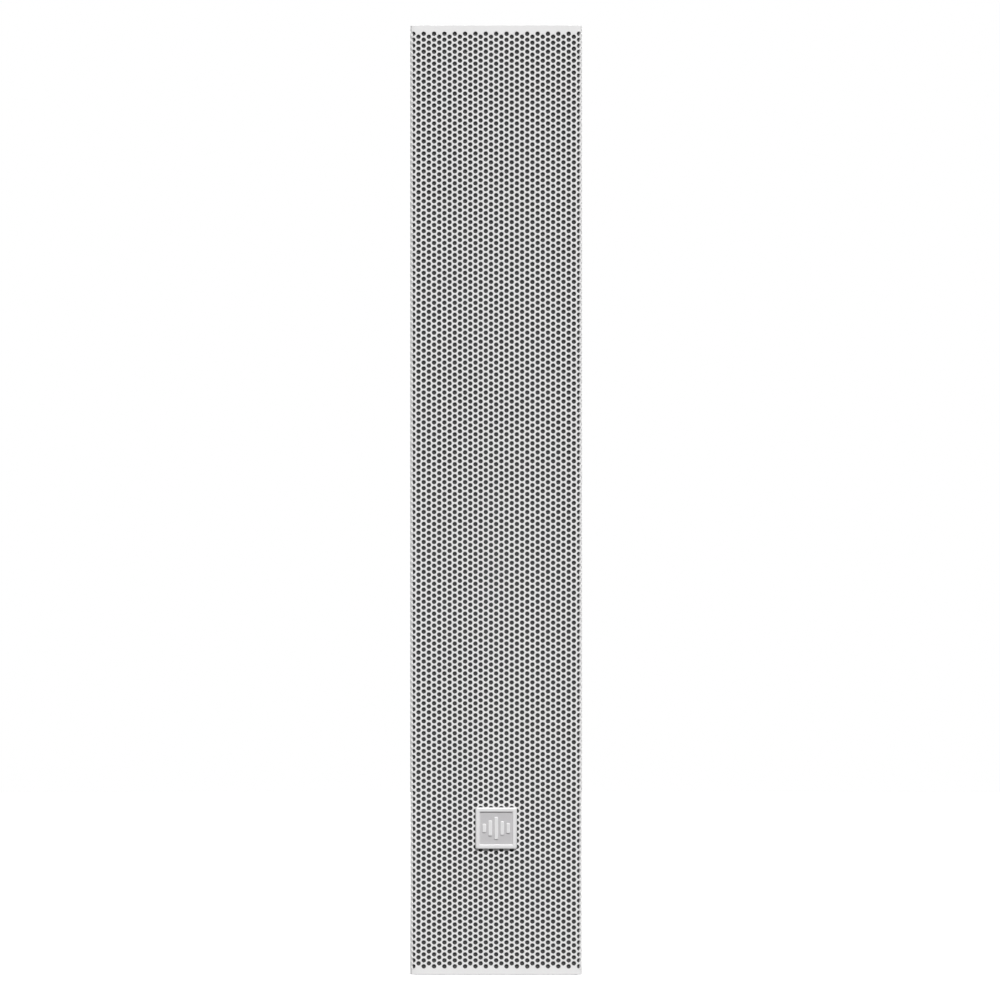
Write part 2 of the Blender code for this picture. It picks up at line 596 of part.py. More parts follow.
def wall_plate():
    """The plate that is screwed to the wall, with two lugs for the pan bolt."""
    plate = extrude("wall_plate", rounded_rectangle(64.0, 80.0, 5.0), WALL_Y - PLATE, WALL_Y, "Y",
                    "white_powder_coat", (0, 0, BRACKET_Z))
    lugs = []
    for side in (-1, 1):
        low, high = sorted((side * (TONGUE + GAP), side * (TONGUE + GAP + PLATE)))
        tab = [(u, v) for v, u in arc((PAN_Y, 0), 10.0, 90, 270, 6)]
        tab = [(-10.0, WALL_Y - 1.0), (10.0, WALL_Y - 1.0)] + tab
        lugs.append(extrude(f"lug_{side:+d}", tab, low, high, "Z", "white_powder_coat", (0, 0, BRACKET_Z)))
    combine(plate, "UNION", lugs)
    holes = [rod("pan_hole", BOLT_HOLE, -20, 20, "Z", (0, PAN_Y, BRACKET_Z))]
    holes += [rod(f"wall_hole_{x:+d}_{z:+d}", 2.75, WALL_Y - 6, WALL_Y + 4, "Y", (x, 0, BRACKET_Z + z), sides=10)
              for x in (-22, 22) for z in (-30, 30)]
    combine(plate, "DIFFERENCE", holes)
    lug = TONGUE + 2 * GAP + PLATE
    turned("pan_bolt", [
        (0, -lug - 3.0), (BOLT_RADIUS, -lug - 3.0), (BOLT_RADIUS, lug), (5.5, lug), (5.5, lug + 4.2),
        (2.5, lug + 4.2), (2.5, lug + 1.8), (0, lug + 1.8),
    ], "Z", "zinc_steel", (0, PAN_Y, BRACKET_Z), 12)


def main():
    for item in list(bpy.data.objects):
        bpy.data.objects.remove(item)
    enclosure()
    end_cap("bottom_cap", 0.0, 1)
    end_cap("top_cap", HEIGHT, -1)
    grille()
    badge()
    baffle()
    foam()
    for number, z in enumerate(driver_heights(), 1):
        driver(number, z)
    connection_panel()
    transformer()
    wiring()
    cabinet_bracket()
    swivel_arm()
    wall_plate()


main()
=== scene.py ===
"""Looks of the column loudspeaker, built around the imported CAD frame.

Frame: +Z is up, the grille faces -Y, metres. Shapes are drawn in millimetres about a place that comes
from the CAD nodes' boxes, and become metres when their mesh is made.
"""
import json
import math

import bmesh
import bpy
from mathutils import Euler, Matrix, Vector
from mathutils import noise as blender_noise
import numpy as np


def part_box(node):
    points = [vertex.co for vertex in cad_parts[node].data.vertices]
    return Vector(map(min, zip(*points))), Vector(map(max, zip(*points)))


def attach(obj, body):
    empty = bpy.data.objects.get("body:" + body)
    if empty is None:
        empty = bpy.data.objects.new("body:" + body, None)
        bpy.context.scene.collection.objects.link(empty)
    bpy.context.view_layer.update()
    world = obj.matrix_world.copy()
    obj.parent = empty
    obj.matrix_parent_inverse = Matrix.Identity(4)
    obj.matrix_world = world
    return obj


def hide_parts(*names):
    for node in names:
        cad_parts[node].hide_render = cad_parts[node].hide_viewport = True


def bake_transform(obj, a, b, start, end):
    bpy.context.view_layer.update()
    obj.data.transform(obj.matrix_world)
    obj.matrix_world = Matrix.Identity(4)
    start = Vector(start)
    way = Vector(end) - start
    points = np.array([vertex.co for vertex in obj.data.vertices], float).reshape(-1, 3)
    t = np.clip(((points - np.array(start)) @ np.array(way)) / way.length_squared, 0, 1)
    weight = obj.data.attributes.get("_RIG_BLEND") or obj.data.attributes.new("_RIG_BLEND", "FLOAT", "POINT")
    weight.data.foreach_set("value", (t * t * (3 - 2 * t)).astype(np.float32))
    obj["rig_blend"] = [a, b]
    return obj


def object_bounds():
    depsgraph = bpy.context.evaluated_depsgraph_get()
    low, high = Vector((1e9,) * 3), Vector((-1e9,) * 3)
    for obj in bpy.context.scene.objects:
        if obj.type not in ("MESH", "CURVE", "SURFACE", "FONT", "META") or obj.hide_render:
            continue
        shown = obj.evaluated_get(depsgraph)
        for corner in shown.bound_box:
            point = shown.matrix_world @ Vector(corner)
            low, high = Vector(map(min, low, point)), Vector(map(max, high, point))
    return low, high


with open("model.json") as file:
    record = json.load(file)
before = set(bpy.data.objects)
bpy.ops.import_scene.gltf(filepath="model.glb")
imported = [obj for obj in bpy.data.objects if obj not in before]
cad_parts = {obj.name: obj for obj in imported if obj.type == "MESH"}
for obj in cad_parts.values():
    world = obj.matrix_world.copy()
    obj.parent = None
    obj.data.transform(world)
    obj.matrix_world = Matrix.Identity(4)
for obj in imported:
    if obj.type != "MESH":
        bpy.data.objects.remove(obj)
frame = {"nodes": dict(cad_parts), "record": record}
cad_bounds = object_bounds()

MM = 0.001

# The grille: a perforated sheet bent round both front edges, and the cloth close behind it
HOLE, PITCH = 2.6, 3.5          # hole diameter and distance between holes, staggered by 60 degrees
SHEET, BEND = 1.2, 2.0          # thickness, and radius of the bend's outer face
RIM = 0.2                       # how far a hole's front edge is rounded over
HOLE_SIDES = 12
LAST_COLUMN = 22                # columns each side of the middle one; the outer ones are on the legs
ROWS = 157                      # holes in an even column; an odd column has one fewer
LENGTHS = 4                     # the sheet is made as this many closed meshes, one above the other
CLOTH_GAP, CLOTH = 0.3, 0.4

# The extrusion
WALL = 2.2
REAR_RADIUS = 10.0
REBATE_WIDTH = 96.0
LEDGE_WIDTH, LEDGE, LEDGE_FRONT = 82.0, 2.0, -39.7
SLOT_X, SLOT_MOUTH, SLOT_WIDTH, SLOT_LIP, SLOT_DEPTH, SLOT_WALL = 30.0, 6.4, 11.4, 2.0, 3.8, 1.8
BOSS_X, BOSS_Y, BOSS_RADIUS, BOSS_BORE, BOSS_SPLIT = 44.6, 10.0, 4.2, 1.7, 30.0
GAP = 0.3                       # clearance between pieces that touch
WELD = 0.002                    # points of a mesh that are closer than this become one

# The badge: the rim's width, the field's height over the back, and the level bars on it
BORDER, FIELD = 2.7, 1.0
BAR_WIDTH, BAR_PITCH, BAR_HEIGHTS = 2.2, 3.5, (5.0, 9.0, 13.0, 8.0, 6.0)

# The connection panel's dish and flange, its screws, and the connector's ways
DISH_WIDTH, DISH_HEIGHT, DISH_WALL, DISH_FLOOR, FLANGE = 37.4, 59.4, 1.8, 36.0, 2.0
PANEL_SCREW_X, PANEL_SCREW_Z = 19.9, 30.9
WAYS, WAY_PITCH = 4, 5.08

# The bracket's plates and tabs, where its ears and lugs start, the M6 bolts' holes, heads and nuts
PLATE, TAB_RADIUS, BOLT_HOLE = 3.0, 9.0, 3.4
EARS, LUGS = (-15.0, 12.0), (-10.3, 7.3)
M6 = {"head_size": (5.5, 4.2), "shank": 3.0, "socket": 2.5, "pitch": 1.0}
NUT_RADIUS, NUT_BORE = 5.6, 2.9

# The photograph's view: a long lens, square on, the object a little left of the middle
LENS, SENSOR = 300.0, 36.0
OBJECT_SHARE = 0.9497           # of the picture's height
OFF_CENTRE = 2.25               # the camera stands this far to the right of the object's middle
CAMERA_HEIGHT = 278.1

DRIVERS = 6


# ---------- CAD places

def box(node):
    """Lowest and highest corner of a CAD node, in millimetres."""
    low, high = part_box(node)
    return low / MM, high / MM


def middle(node):
    """Centre of a CAD node's box, in millimetres."""
    low, high = box(node)
    return (low + high) / 2


# ---------- materials

def feed(tree, socket, value):
    """Link the socket from value where that is a socket too, or else set it to value."""
    if isinstance(value, bpy.types.NodeSocket):
        tree.links.new(value, socket)
    else:
        socket.default_value = value


def add_node(tree, kind, settings=None, **inputs):
    """Add a node; an input is a socket to link from or a value to set."""
    made = tree.nodes.new(kind)
    for name, value in (settings or {}).items():
        setattr(made, name, value)
    for name, value in inputs.items():
        feed(tree, made.inputs[name.replace("_", " ")], value)
    return made


def compute(tree, operation, first, second=0.0):
    """Result of a Math node on two sockets or numbers."""
    made = tree.nodes.new("ShaderNodeMath")
    made.operation = operation
    feed(tree, made.inputs[0], first)
    feed(tree, made.inputs[1], second)
    return made.outputs[0]


def noise(tree, place, size, detail, roughness=0.5):
    """Noise between 0 and 1 whose features are about size millimetres wide."""
    made = add_node(tree, "ShaderNodeTexNoise", Vector=place, Scale=1.0 / (size * MM), Detail=detail,
                    Roughness=roughness)
    return made.outputs["Fac"]


def grain_height(tree, place, size):
    """Fine uneven surface, as of powder coat, cast metal or moulded plastic."""
    return noise(tree, place, size, 3.0, 0.6)


def weave_height(tree, place, size):
    """Two sets of threads that pass over and under each other, size millimetres apart."""
    split = add_node(tree, "ShaderNodeSeparateXYZ", Vector=place)
    turns = math.pi / (size * MM)
    warp, weft = (compute(tree, "SINE", compute(tree, "MULTIPLY", split.outputs[axis], turns))
                  for axis in "XZ")
    threads = compute(tree, "MAXIMUM", compute(tree, "ABSOLUTE", warp), compute(tree, "ABSOLUTE", weft))
    over = compute(tree, "MULTIPLY", compute(tree, "MULTIPLY", warp, weft), 0.35)
    return compute(tree, "ADD", threads, over)


def layer_height(tree, place, size):
    """Flat layers stacked along Z, size millimetres thick."""
    made = add_node(tree, "ShaderNodeTexWave", {"bands_direction": "Z", "wave_profile": "SAW"},
                    Vector=place, Scale=0.314 / (size * MM), Distortion=0.4, Detail=1.0)
    return made.outputs["Fac"]


def fibre_height(tree, place, size):
    """Tangled fibres about size millimetres wide."""
    made = add_node(tree, "ShaderNodeTexNoise", {"noise_type": "RIDGED_MULTIFRACTAL"}, Vector=place,
                    Scale=0.25 / (size * MM), Detail=6.0, Roughness=0.7, Distortion=1.5)
    return made.outputs["Fac"]


HEIGHTS = {"grain": grain_height, "weave": weave_height, "layers": layer_height, "fibres": fibre_height}


def finish(name, colour, roughness, metallic=0.0, pattern="grain", size=0.4, depth=0.02, hollow_shade=0.0,
           mottle=0.012, spread=0.05, coordinates="Object", **sockets):
    """A surface with an uneven colour and gloss, a bump pattern, and painted shade in the pattern's low
    parts where asked.

    size and depth are the pattern's, in millimetres; hollow_shade darkens its low parts with painted shade;
    mottle is how far the colour strays and spread how far the roughness does; sockets are fixed shader
    values.
    """
    material = bpy.data.materials.new(name)
    material.use_nodes = True
    tree = material.node_tree
    shader = tree.nodes["Principled BSDF"]
    place = add_node(tree, "ShaderNodeTexCoord").outputs["Object"]
    if coordinates != "Object":
        flat = add_node(tree, "ShaderNodeSeparateXYZ",
                        Vector=add_node(tree, "ShaderNodeUVMap", {"uv_map": coordinates}).outputs["UV"])
        place = add_node(tree, "ShaderNodeCombineXYZ", X=flat.outputs["X"], Z=flat.outputs["Y"])
        place = place.outputs["Vector"]
    patches = noise(tree, place, 28.0, 4.0)
    height = HEIGHTS[pattern](tree, place, size)
    shade = add_node(tree, "ShaderNodeMapRange", Value=patches, From_Min=0.3, From_Max=0.7,
                     To_Min=1.0 - mottle, To_Max=1.0 + mottle).outputs["Result"]
    # Painted shade: the pattern's low parts are made darker, as if shade fell into its hollows
    if hollow_shade:
        low = add_node(tree, "ShaderNodeMapRange", Value=height, To_Min=1.0 - hollow_shade, To_Max=1.0)
        shade = compute(tree, "MULTIPLY", shade, low.outputs["Result"])
    base = add_node(tree, "ShaderNodeVectorMath", {"operation": "SCALE"}, Scale=shade)
    base.inputs[0].default_value = colour
    tree.links.new(base.outputs[0], shader.inputs["Base Color"])
    gloss = add_node(tree, "ShaderNodeMapRange", Value=noise(tree, place, 9.0, 5.0), From_Min=0.3,
                     From_Max=0.7, To_Min=roughness - spread, To_Max=min(1.0, roughness + spread))
    tree.links.new(gloss.outputs["Result"], shader.inputs["Roughness"])
    bump = add_node(tree, "ShaderNodeBump", Height=height, Distance=depth * MM, Strength=1.0)
    tree.links.new(bump.outputs["Normal"], shader.inputs["Normal"])
    shader.inputs["Metallic"].default_value = metallic
    for socket, value in sockets.items():
        shader.inputs[socket.replace("_", " ")].default_value = value
    material.diffuse_color = (*colour, 1.0)
    return material


WHITE_COAT = finish("white_powder_coat", (0.775, 0.77, 0.77), 0.46, size=0.35, depth=0.018)
WHITE_RAIL = finish("white_coated_aluminium", (0.76, 0.757, 0.757), 0.42, size=0.35, depth=0.014)
WHITE_PLASTIC = finish("white_moulded_plastic", (0.74, 0.738, 0.728), 0.5, size=0.25, depth=0.03)
CAST_COAT = finish("white_coated_casting", (0.755, 0.75, 0.75), 0.5, size=0.9, depth=0.06)
# Finishes below that darken their pattern's low parts paint shade into the hollows of the weave, fibres and
# layers
CLOTH_GREY = finish("speaker_cloth", (0.08, 0.079, 0.081), 0.95, pattern="weave", size=0.32, depth=0.12,
                    hollow_shade=0.45, mottle=0.06, spread=0.03, coordinates="cloth", Sheen_Weight=0.15)
BADGE_RIM = finish("badge_satin_metal", (0.80, 0.795, 0.80), 0.34, 0.15, size=0.2, depth=0.006)
BADGE_FIELD = finish("badge_field", (0.53, 0.52, 0.53), 0.5, 0.15, size=0.22, depth=0.02)
ZINC = finish("zinc_plated_steel", (0.62, 0.625, 0.64), 0.3, 1.0, size=0.5, depth=0.006, mottle=0.06,
              spread=0.08)
BLACK_PLASTIC = finish("black_moulded_plastic", (0.028, 0.028, 0.029), 0.48, size=0.22, depth=0.03)
WHITE_INK = finish("white_marking", (0.78, 0.78, 0.76), 0.55, size=0.15, depth=0.01)
GREEN_PLASTIC = finish("green_moulded_plastic", (0.035, 0.30, 0.11), 0.42, size=0.3, depth=0.012)
BLACK_STEEL = finish("black_coated_steel", (0.035, 0.035, 0.036), 0.5, size=0.4, depth=0.02)
FERRITE = finish("ferrite", (0.085, 0.085, 0.09), 0.62, 0.1, size=0.6, depth=0.05, mottle=0.12)
PAPER = finish("cone_paper", (0.045, 0.044, 0.043), 0.88, pattern="fibres", size=0.5, depth=0.08,
               hollow_shade=0.25, mottle=0.1)
RUBBER = finish("surround_rubber", (0.03, 0.03, 0.03), 0.66, size=0.5, depth=0.01, Sheen_Weight=0.1)
SPIDER_CLOTH = finish("spider_cloth", (0.45, 0.32, 0.15), 0.9, pattern="weave", size=0.5, depth=0.12,
                      hollow_shade=0.5)
WADDING = finish("wadding", (0.78, 0.78, 0.75), 0.97, pattern="fibres", size=0.9, depth=0.9, hollow_shade=0.35,
                 mottle=0.06, spread=0.02, Sheen_Weight=0.3)
BOARD = finish("solder_resist", (0.04, 0.2, 0.09), 0.38, size=0.8, depth=0.01, mottle=0.08)
CORE_STEEL = finish("core_laminations", (0.25, 0.25, 0.27), 0.45, 0.8, pattern="layers", size=0.5,
                    depth=0.06, hollow_shade=0.4)
TAPE = finish("winding_tape", (0.72, 0.55, 0.12), 0.5, pattern="layers", size=6.0, depth=0.08, hollow_shade=0.1)
SLEEVE = finish("braided_sleeve", (0.04, 0.04, 0.042), 0.6, pattern="weave", size=0.7, depth=0.2, hollow_shade=0.5)


# ---------- outlines and meshes

def arc(centre, radius, start, end, steps):
    """Points along an arc, its angles in degrees."""
    angles = [math.radians(start + (end - start) * step / steps) for step in range(steps + 1)]
    return [(centre[0] + radius * math.cos(a), centre[1] + radius * math.sin(a)) for a in angles]


def mirrored(points):
    """The same outline points on the other side of the centre line, in reverse."""
    return [(-u, v) for u, v in reversed(points)]


def rounded_rectangle(width, height, radius, steps=6):
    """Outline of a rectangle about the origin with round corners."""
    u, v = width / 2 - radius, height / 2 - radius
    corners = [((u, v), 0), ((-u, v), 90), ((-u, -v), 180), ((u, -v), 270)]
    return [point for centre, turn in corners for point in arc(centre, radius, turn, turn + 90, steps)]


def eased(outline, radius, steps=3, least=25.0):
    """The outline with each corner that turns by least degrees or more rounded off."""
    points = []
    for i, corner in enumerate(outline):
        here = Vector(corner)
        before, after = Vector(outline[i - 1]) - here, Vector(outline[(i + 1) % len(outline)]) - here
        turn = 180.0 - math.degrees(before.angle(after, math.pi))
        if turn < least:
            points.append(corner)
            continue
        reach = min(radius, 0.4 * before.length, 0.4 * after.length)
        start, end = here + before.normalized() * reach, here + after.normalized() * reach
        for step in range(steps + 1):
            t = step / steps
            point = start * (1 - t) ** 2 + here * (2 * t * (1 - t)) + end * t ** 2
            points.append((point.x, point.y))
    return points


# How an outline's two values and the height along the third axis become x, y and z
TURN = {
    "X": lambda u, v, along: (along, u, v),
    "Y": lambda u, v, along: (u, along, v),
    "Z": lambda u, v, along: (u, v, along),
}


def add_piece(name, points, faces, place=(0, 0, 0), outward=True):
    """A mesh object; points are millimetres about place. outward turns its faces to face out."""
    mesh = bpy.data.meshes.new(name)
    mesh.from_pydata([[MM * (value + offset) for value, offset in zip(point, place)] for point in points],
                     [], faces)
    if outward:
        shape = bmesh.new()
        shape.from_mesh(mesh)
        bmesh.ops.recalc_face_normals(shape, faces=shape.faces)
        shape.to_mesh(mesh)
        shape.free()
    piece = bpy.data.objects.new(name, mesh)
    bpy.context.scene.collection.objects.link(piece)
    return piece


def loft(name, rings, axis, place=(0, 0, 0)):
    """Join outlines of equal length into a closed solid; each ring is (outline, height)."""
    count = len(rings[0][0])
    points = [TURN[axis](u, v, along) for outline, along in rings for u, v in outline]
    faces = [list(range(count)), list(range(len(points) - count, len(points)))]
    for ring in range(len(rings) - 1):
        for i in range(count):
            j = (i + 1) % count
            low, high = ring * count, (ring + 1) * count
            faces.append([low + i, low + j, high + j, high + i])
    return add_piece(name, points, faces, place)


def extrude(name, outline, low, high, axis, place=(0, 0, 0)):
    """A prism of the outline from low to high along axis."""
    return loft(name, [(outline, low), (outline, high)], axis, place)


def turned(name, profile, axis, place=(0, 0, 0), sides=48):
    """Turn a closed profile of (radius, height) points about axis."""
    points, rings = [], []
    for radius, along in profile:
        count = sides if radius > 0 else 1
        rings.append([len(points) + i % count for i in range(sides)])
        for i in range(count):
            angle = 2 * math.pi * i / sides
            points.append(TURN[axis](radius * math.cos(angle), radius * math.sin(angle), along))
    faces = []
    for k in range(len(profile)):
        first, second = rings[k], rings[(k + 1) % len(profile)]
        if profile[k][0] == 0 and profile[(k + 1) % len(profile)][0] == 0:
            continue
        for i in range(sides):
            j = (i + 1) % sides
            faces.append(list(dict.fromkeys([first[i], first[j], second[j], second[i]])))
    return add_piece(name, points, faces, place)


def drill(name, axis, radius, low, high, place, sides=40):
    """A plain round bar, mostly to cut a hole with."""
    return turned(name, [(0, low), (radius, low), (radius, high), (0, high)], axis, place, sides)


def settle(piece):
    """Make what the piece's modifiers give its own mesh, with points that coincide welded."""
    graph = bpy.context.evaluated_depsgraph_get()
    graph.update()
    mesh = bpy.data.meshes.new_from_object(piece.evaluated_get(graph), depsgraph=graph)
    piece.modifiers.clear()
    piece.data = mesh
    shape = bmesh.new()
    shape.from_mesh(mesh)
    bmesh.ops.remove_doubles(shape, verts=shape.verts, dist=WELD * MM)
    shape.to_mesh(mesh)
    shape.free()
    return piece


def combine(piece, operation, others):
    """Cut others from the piece, or join them to it; they're used up."""
    for other in others:
        change = piece.modifiers.new(operation, "BOOLEAN")
        change.operation = operation
        change.solver = "EXACT"
        change.object = other
    settle(piece)
    for other in others:
        bpy.data.objects.remove(other)
    return piece


def round_edges(piece, width, segments=3, angle=30.0):
    """Round sharp edges by width millimetres, or by less on a piece whose short edges leave no room."""
    bevel = piece.modifiers.new("edges", "BEVEL")
    bevel.width = width * MM
    bevel.segments = segments
    bevel.limit_method = "ANGLE"
    bevel.angle_limit = math.radians(angle)
    bevel.miter_outer = "MITER_ARC"
    return settle(piece)


def show(piece, body, materials, replaces=(), sharp=35.0, even=True):
    """Give the piece its finish, its shading and its place in the frame; body None leaves it free."""
    mesh = piece.data
    if not isinstance(materials, (list, tuple)):
        materials = [materials]
    keep = [face.material_index for face in mesh.polygons]
    mesh.materials.clear()
    for material in materials:
        mesh.materials.append(material)
    mesh.polygons.foreach_set("material_index", keep)
    mesh.shade_smooth()
    mesh.set_sharp_from_angle(angle=math.radians(sharp))
    if even:
        normals = piece.modifiers.new("normals", "WEIGHTED_NORMAL")
        normals.keep_sharp = True
    if body:
        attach(piece, body)
    for node in [replaces] if isinstance(replaces, str) else replaces:
        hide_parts(node)
    return piece


# ---------- grille and cloth

grille_low, grille_high = box("grille")
FRONT = grille_low.y
BEND_X = grille_high.x - BEND                       # where the flat front ends and the bend starts
LEG = grille_high.y - (FRONT + BEND)
SHEET_END = BEND_X + math.pi / 2 * BEND + LEG       # half the sheet's width, measured round the bend
FIRST_HOLE = (grille_low.z + grille_high.z - (ROWS - 1) * PITCH) / 2
EDGE = 9999                                         # stands for a straight edge in a corner's key
CORNERS = [(2, 0), (1, 1), (-1, 1), (-2, 0), (-1, -1), (1, -1)]


def bent(s, z, depth):
    """Where a point of the flat sheet lies once the sheet is bent.

    s is measured along the outer face from the middle, and depth is below that face.
    """
    side = math.copysign(1.0, s)
    angle = min(max(0.0, (abs(s) - BEND_X) / BEND), math.pi / 2)
    flat = min(abs(s), BEND_X)
    leg = max(0.0, abs(s) - BEND_X - math.pi / 2 * BEND)
    radius = BEND - depth
    return (side * (flat + radius * math.sin(angle)), FRONT + BEND - radius * math.cos(angle) + leg, z)


def perforated_length(number, first, last):
    """One closed length of the sheet with the hole rows from first up to last.

    Each hole sits in a six-sided cell of sheet. A corner of a cell is keyed by whole steps across
    and up, so that neighbouring cells share it; EDGE in a key stands for the sheet's straight edge.
    """
    points, faces, known, open_sides = [], [], {}, {}
    step = PITCH / math.sqrt(3) / 2

    def corner(key, layer):
        """Index of a cell corner on the outer face (layer 0) or the inner one (layer 1)."""
        across, up = key
        if (key, layer) not in known:
            s = math.copysign(SHEET_END, across) if abs(across) == EDGE else across * step
            z = FIRST_HOLE + up * PITCH / 2
            if abs(up) == EDGE:
                z = grille_high.z if up > 0 else grille_low.z
            known[key, layer] = len(points)
            points.append(bent(s, z, layer * SHEET))
        return known[key, layer]

    def hole_ring(s, z, radius, depth):
        """Indices of a ring of points round a hole."""
        start = len(points)
        for i in range(HOLE_SIDES):
            angle = 2 * math.pi * i / HOLE_SIDES
            points.append(bent(s + radius * math.cos(angle), z + radius * math.sin(angle), depth))
        return list(range(start, start + HOLE_SIDES))

    def outline(keys):
        """Note a face's sides on the outer face; a side that two faces share is closed."""
        for a, b in zip(keys, keys[1:] + keys[:1]):
            if open_sides.pop((b, a), None) is None:
                open_sides[a, b] = True

    def plate(keys):
        """A plain patch of sheet, both faces of it."""
        outline(keys)
        faces.append([corner(key, 0) for key in keys])
        faces.append([corner(key, 1) for key in reversed(keys)])

    for column in range(-LAST_COLUMN, LAST_COLUMN + 1):
        odd = column % 2
        for row in range(first, min(last, ROWS - odd)):
            s, z = column * 3 * step, FIRST_HOLE + (row + odd / 2) * PITCH
            rings = [
                hole_ring(s, z, HOLE / 2 + RIM, 0.0),
                hole_ring(s, z, HOLE / 2, RIM),
                hole_ring(s, z, HOLE / 2, SHEET),
            ]
            keys = [(3 * column + across, 2 * row + odd + up) for across, up in CORNERS]
            outline(keys)
            for i in range(6):
                for ring, layer in ((rings[0], 0), (rings[2], 1)):
                    a, b = corner(keys[i], layer), corner(keys[(i + 1) % 6], layer)
                    start, half, end = (ring[(2 * i + k) % HOLE_SIDES] for k in range(3))
                    patch = [(a, b, half), (a, half, start), (b, end, half)]
                    faces.extend(patch if layer == 0 else [face[::-1] for face in patch])
            for upper, lower in zip(rings, rings[1:]):
                for i in range(HOLE_SIDES):
                    j = (i + 1) % HOLE_SIDES
                    faces.append((upper[i], upper[j], lower[j], lower[i]))

    # Plain margins beside the outer columns, and above and below the field of holes
    side_step, top_step = 3 * LAST_COLUMN + 1, 2 * (ROWS - 1)
    for a, b in list(open_sides):
        across = [abs(key[0]) for key in (a, b)]
        up = [key[1] for key in (a, b)]
        if min(across) >= side_step:
            edge = int(math.copysign(EDGE, a[0]))
            plate([b, a, (edge, a[1]), (edge, b[1])])
        elif min(up) >= top_step:
            plate([b, a, (a[0], EDGE), (b[0], EDGE)])
        elif max(up) <= 0:
            plate([b, a, (a[0], -EDGE), (b[0], -EDGE)])
    ends = ([(-1, -EDGE)] if first == 0 else []) + ([(top_step + 1, EDGE)] if last == ROWS else [])
    for level, edge in ends:
        for side in (-1, 1):
            keys = [(side * side_step, level), (side * EDGE, level), (side * EDGE, edge),
                    (side * side_step, edge)]
            plate(keys if side * edge > 0 else keys[::-1])
    for a, b in list(open_sides):
        faces.append((corner(b, 0), corner(a, 0), corner(a, 1), corner(b, 1)))
    piece = add_piece(f"perforated_sheet_{number}", points, faces, outward=False)
    return show(piece, "cabinet", WHITE_COAT, "grille", even=False)


def speaker_cloth():
    """The cloth behind the holes, with its flat position kept as a UV map for the weave."""
    low, high = box("grille_cloth")
    depth = SHEET + CLOTH_GAP
    across = [BEND_X * step / 6 for step in range(6)]
    across += [BEND_X + math.pi / 2 * BEND * step / 12 for step in range(12)]
    across += [SHEET_END - LEG + LEG * step / 3 for step in range(4)]
    across = [-s for s in reversed(across[1:])] + across
    rises = [low.z + (high.z - low.z) * step / 24 for step in range(25)]
    ring = [(s, depth) for s in across] + [(s, depth + CLOTH) for s in reversed(across)]
    points = [bent(s, z, level) for z in rises for s, level in ring]
    count, faces = len(ring), []
    for start in range(0, len(points) - count, count):
        for i in range(count):
            j = (i + 1) % count
            faces.append((start + i, start + j, start + count + j, start + count + i))
    for start in (0, len(points) - count):
        for i in range(len(across) - 1):
            faces.append((start + i, start + i + 1, start + count - 2 - i, start + count - 1 - i))
    piece = add_piece("speaker_cloth", points, faces)
    flat = piece.data.uv_layers.new(name="cloth")
    for loop in piece.data.loops:
        row, i = divmod(loop.vertex_index, count)
        flat.data[loop.index].uv = (ring[i][0] * MM, rises[row] * MM)
    show(piece, "cabinet", CLOTH_GREY, "grille_cloth", even=False)


def grille():
    """The perforated sheet and its cloth."""
    cuts = [ROWS * number // LENGTHS for number in range(LENGTHS + 1)]
    for number in range(LENGTHS):
        perforated_length(number + 1, cuts[number], cuts[number + 1])
    speaker_cloth()


# ---------- badge

def badge():
    """A square plate with a raised round-edged rim, and five level bars on its field."""
    low, high = box("badge")
    place = (0.0, 0.0, (low.z + high.z) / 2)
    size, back = high.x - low.x, high.y
    rim, field = low.y, high.y - FIELD

    def square(inset):
        """Outline of the plate at a distance inside its edge."""
        return rounded_rectangle(size - 2 * inset, size - 2 * inset, max(0.25, 1.0 - inset / 2), 5)

    rings = [(square(0.25), back), (square(0.0), back - 0.25), (square(0.0), field + 0.2)]
    for degrees in (0, 18, 36, 54, 72, 90):
        a = math.radians(degrees)
        rings.append((square(0.7 - 0.7 * math.cos(a)), rim + 1.1 * (1 - math.sin(a))))
    rings += [
        (square(BORDER - 0.5), rim),
        (square(BORDER - 0.3), rim + 0.06),
        (square(BORDER - 0.15), rim + 0.22),
        (square(BORDER - 0.06), field - 0.35),
        (square(BORDER), field),
    ]
    plate = loft("badge_plate", rings, "Y", place)
    for face in plate.data.polygons:
        is_field = len(face.vertices) > 4 and face.center.y < (back - 0.5) * MM
        face.material_index = int(is_field)
    show(plate, "cabinet", [BADGE_RIM, BADGE_FIELD], "badge")

    for number, height in enumerate(BAR_HEIGHTS, 1):
        def bar(inset, rise):
            """Outline of the bar at a distance inside its edge, and its place above the field."""
            outline = rounded_rectangle(BAR_WIDTH - 2 * inset, height - 2 * inset, 0.55 - inset / 2, 5)
            return (outline, field - rise)
        shape = [bar(0.0, -0.05), bar(0.0, 0.42), bar(0.05, 0.52), bar(0.15, 0.6), bar(0.3, 0.62)]
        mark = loft(f"badge_level_bar_{number}", shape, "Y", (BAR_PITCH * (number - 3), 0.0, place[2]))
        show(mark, "cabinet", BADGE_RIM, "badge")


# ---------- cabinet

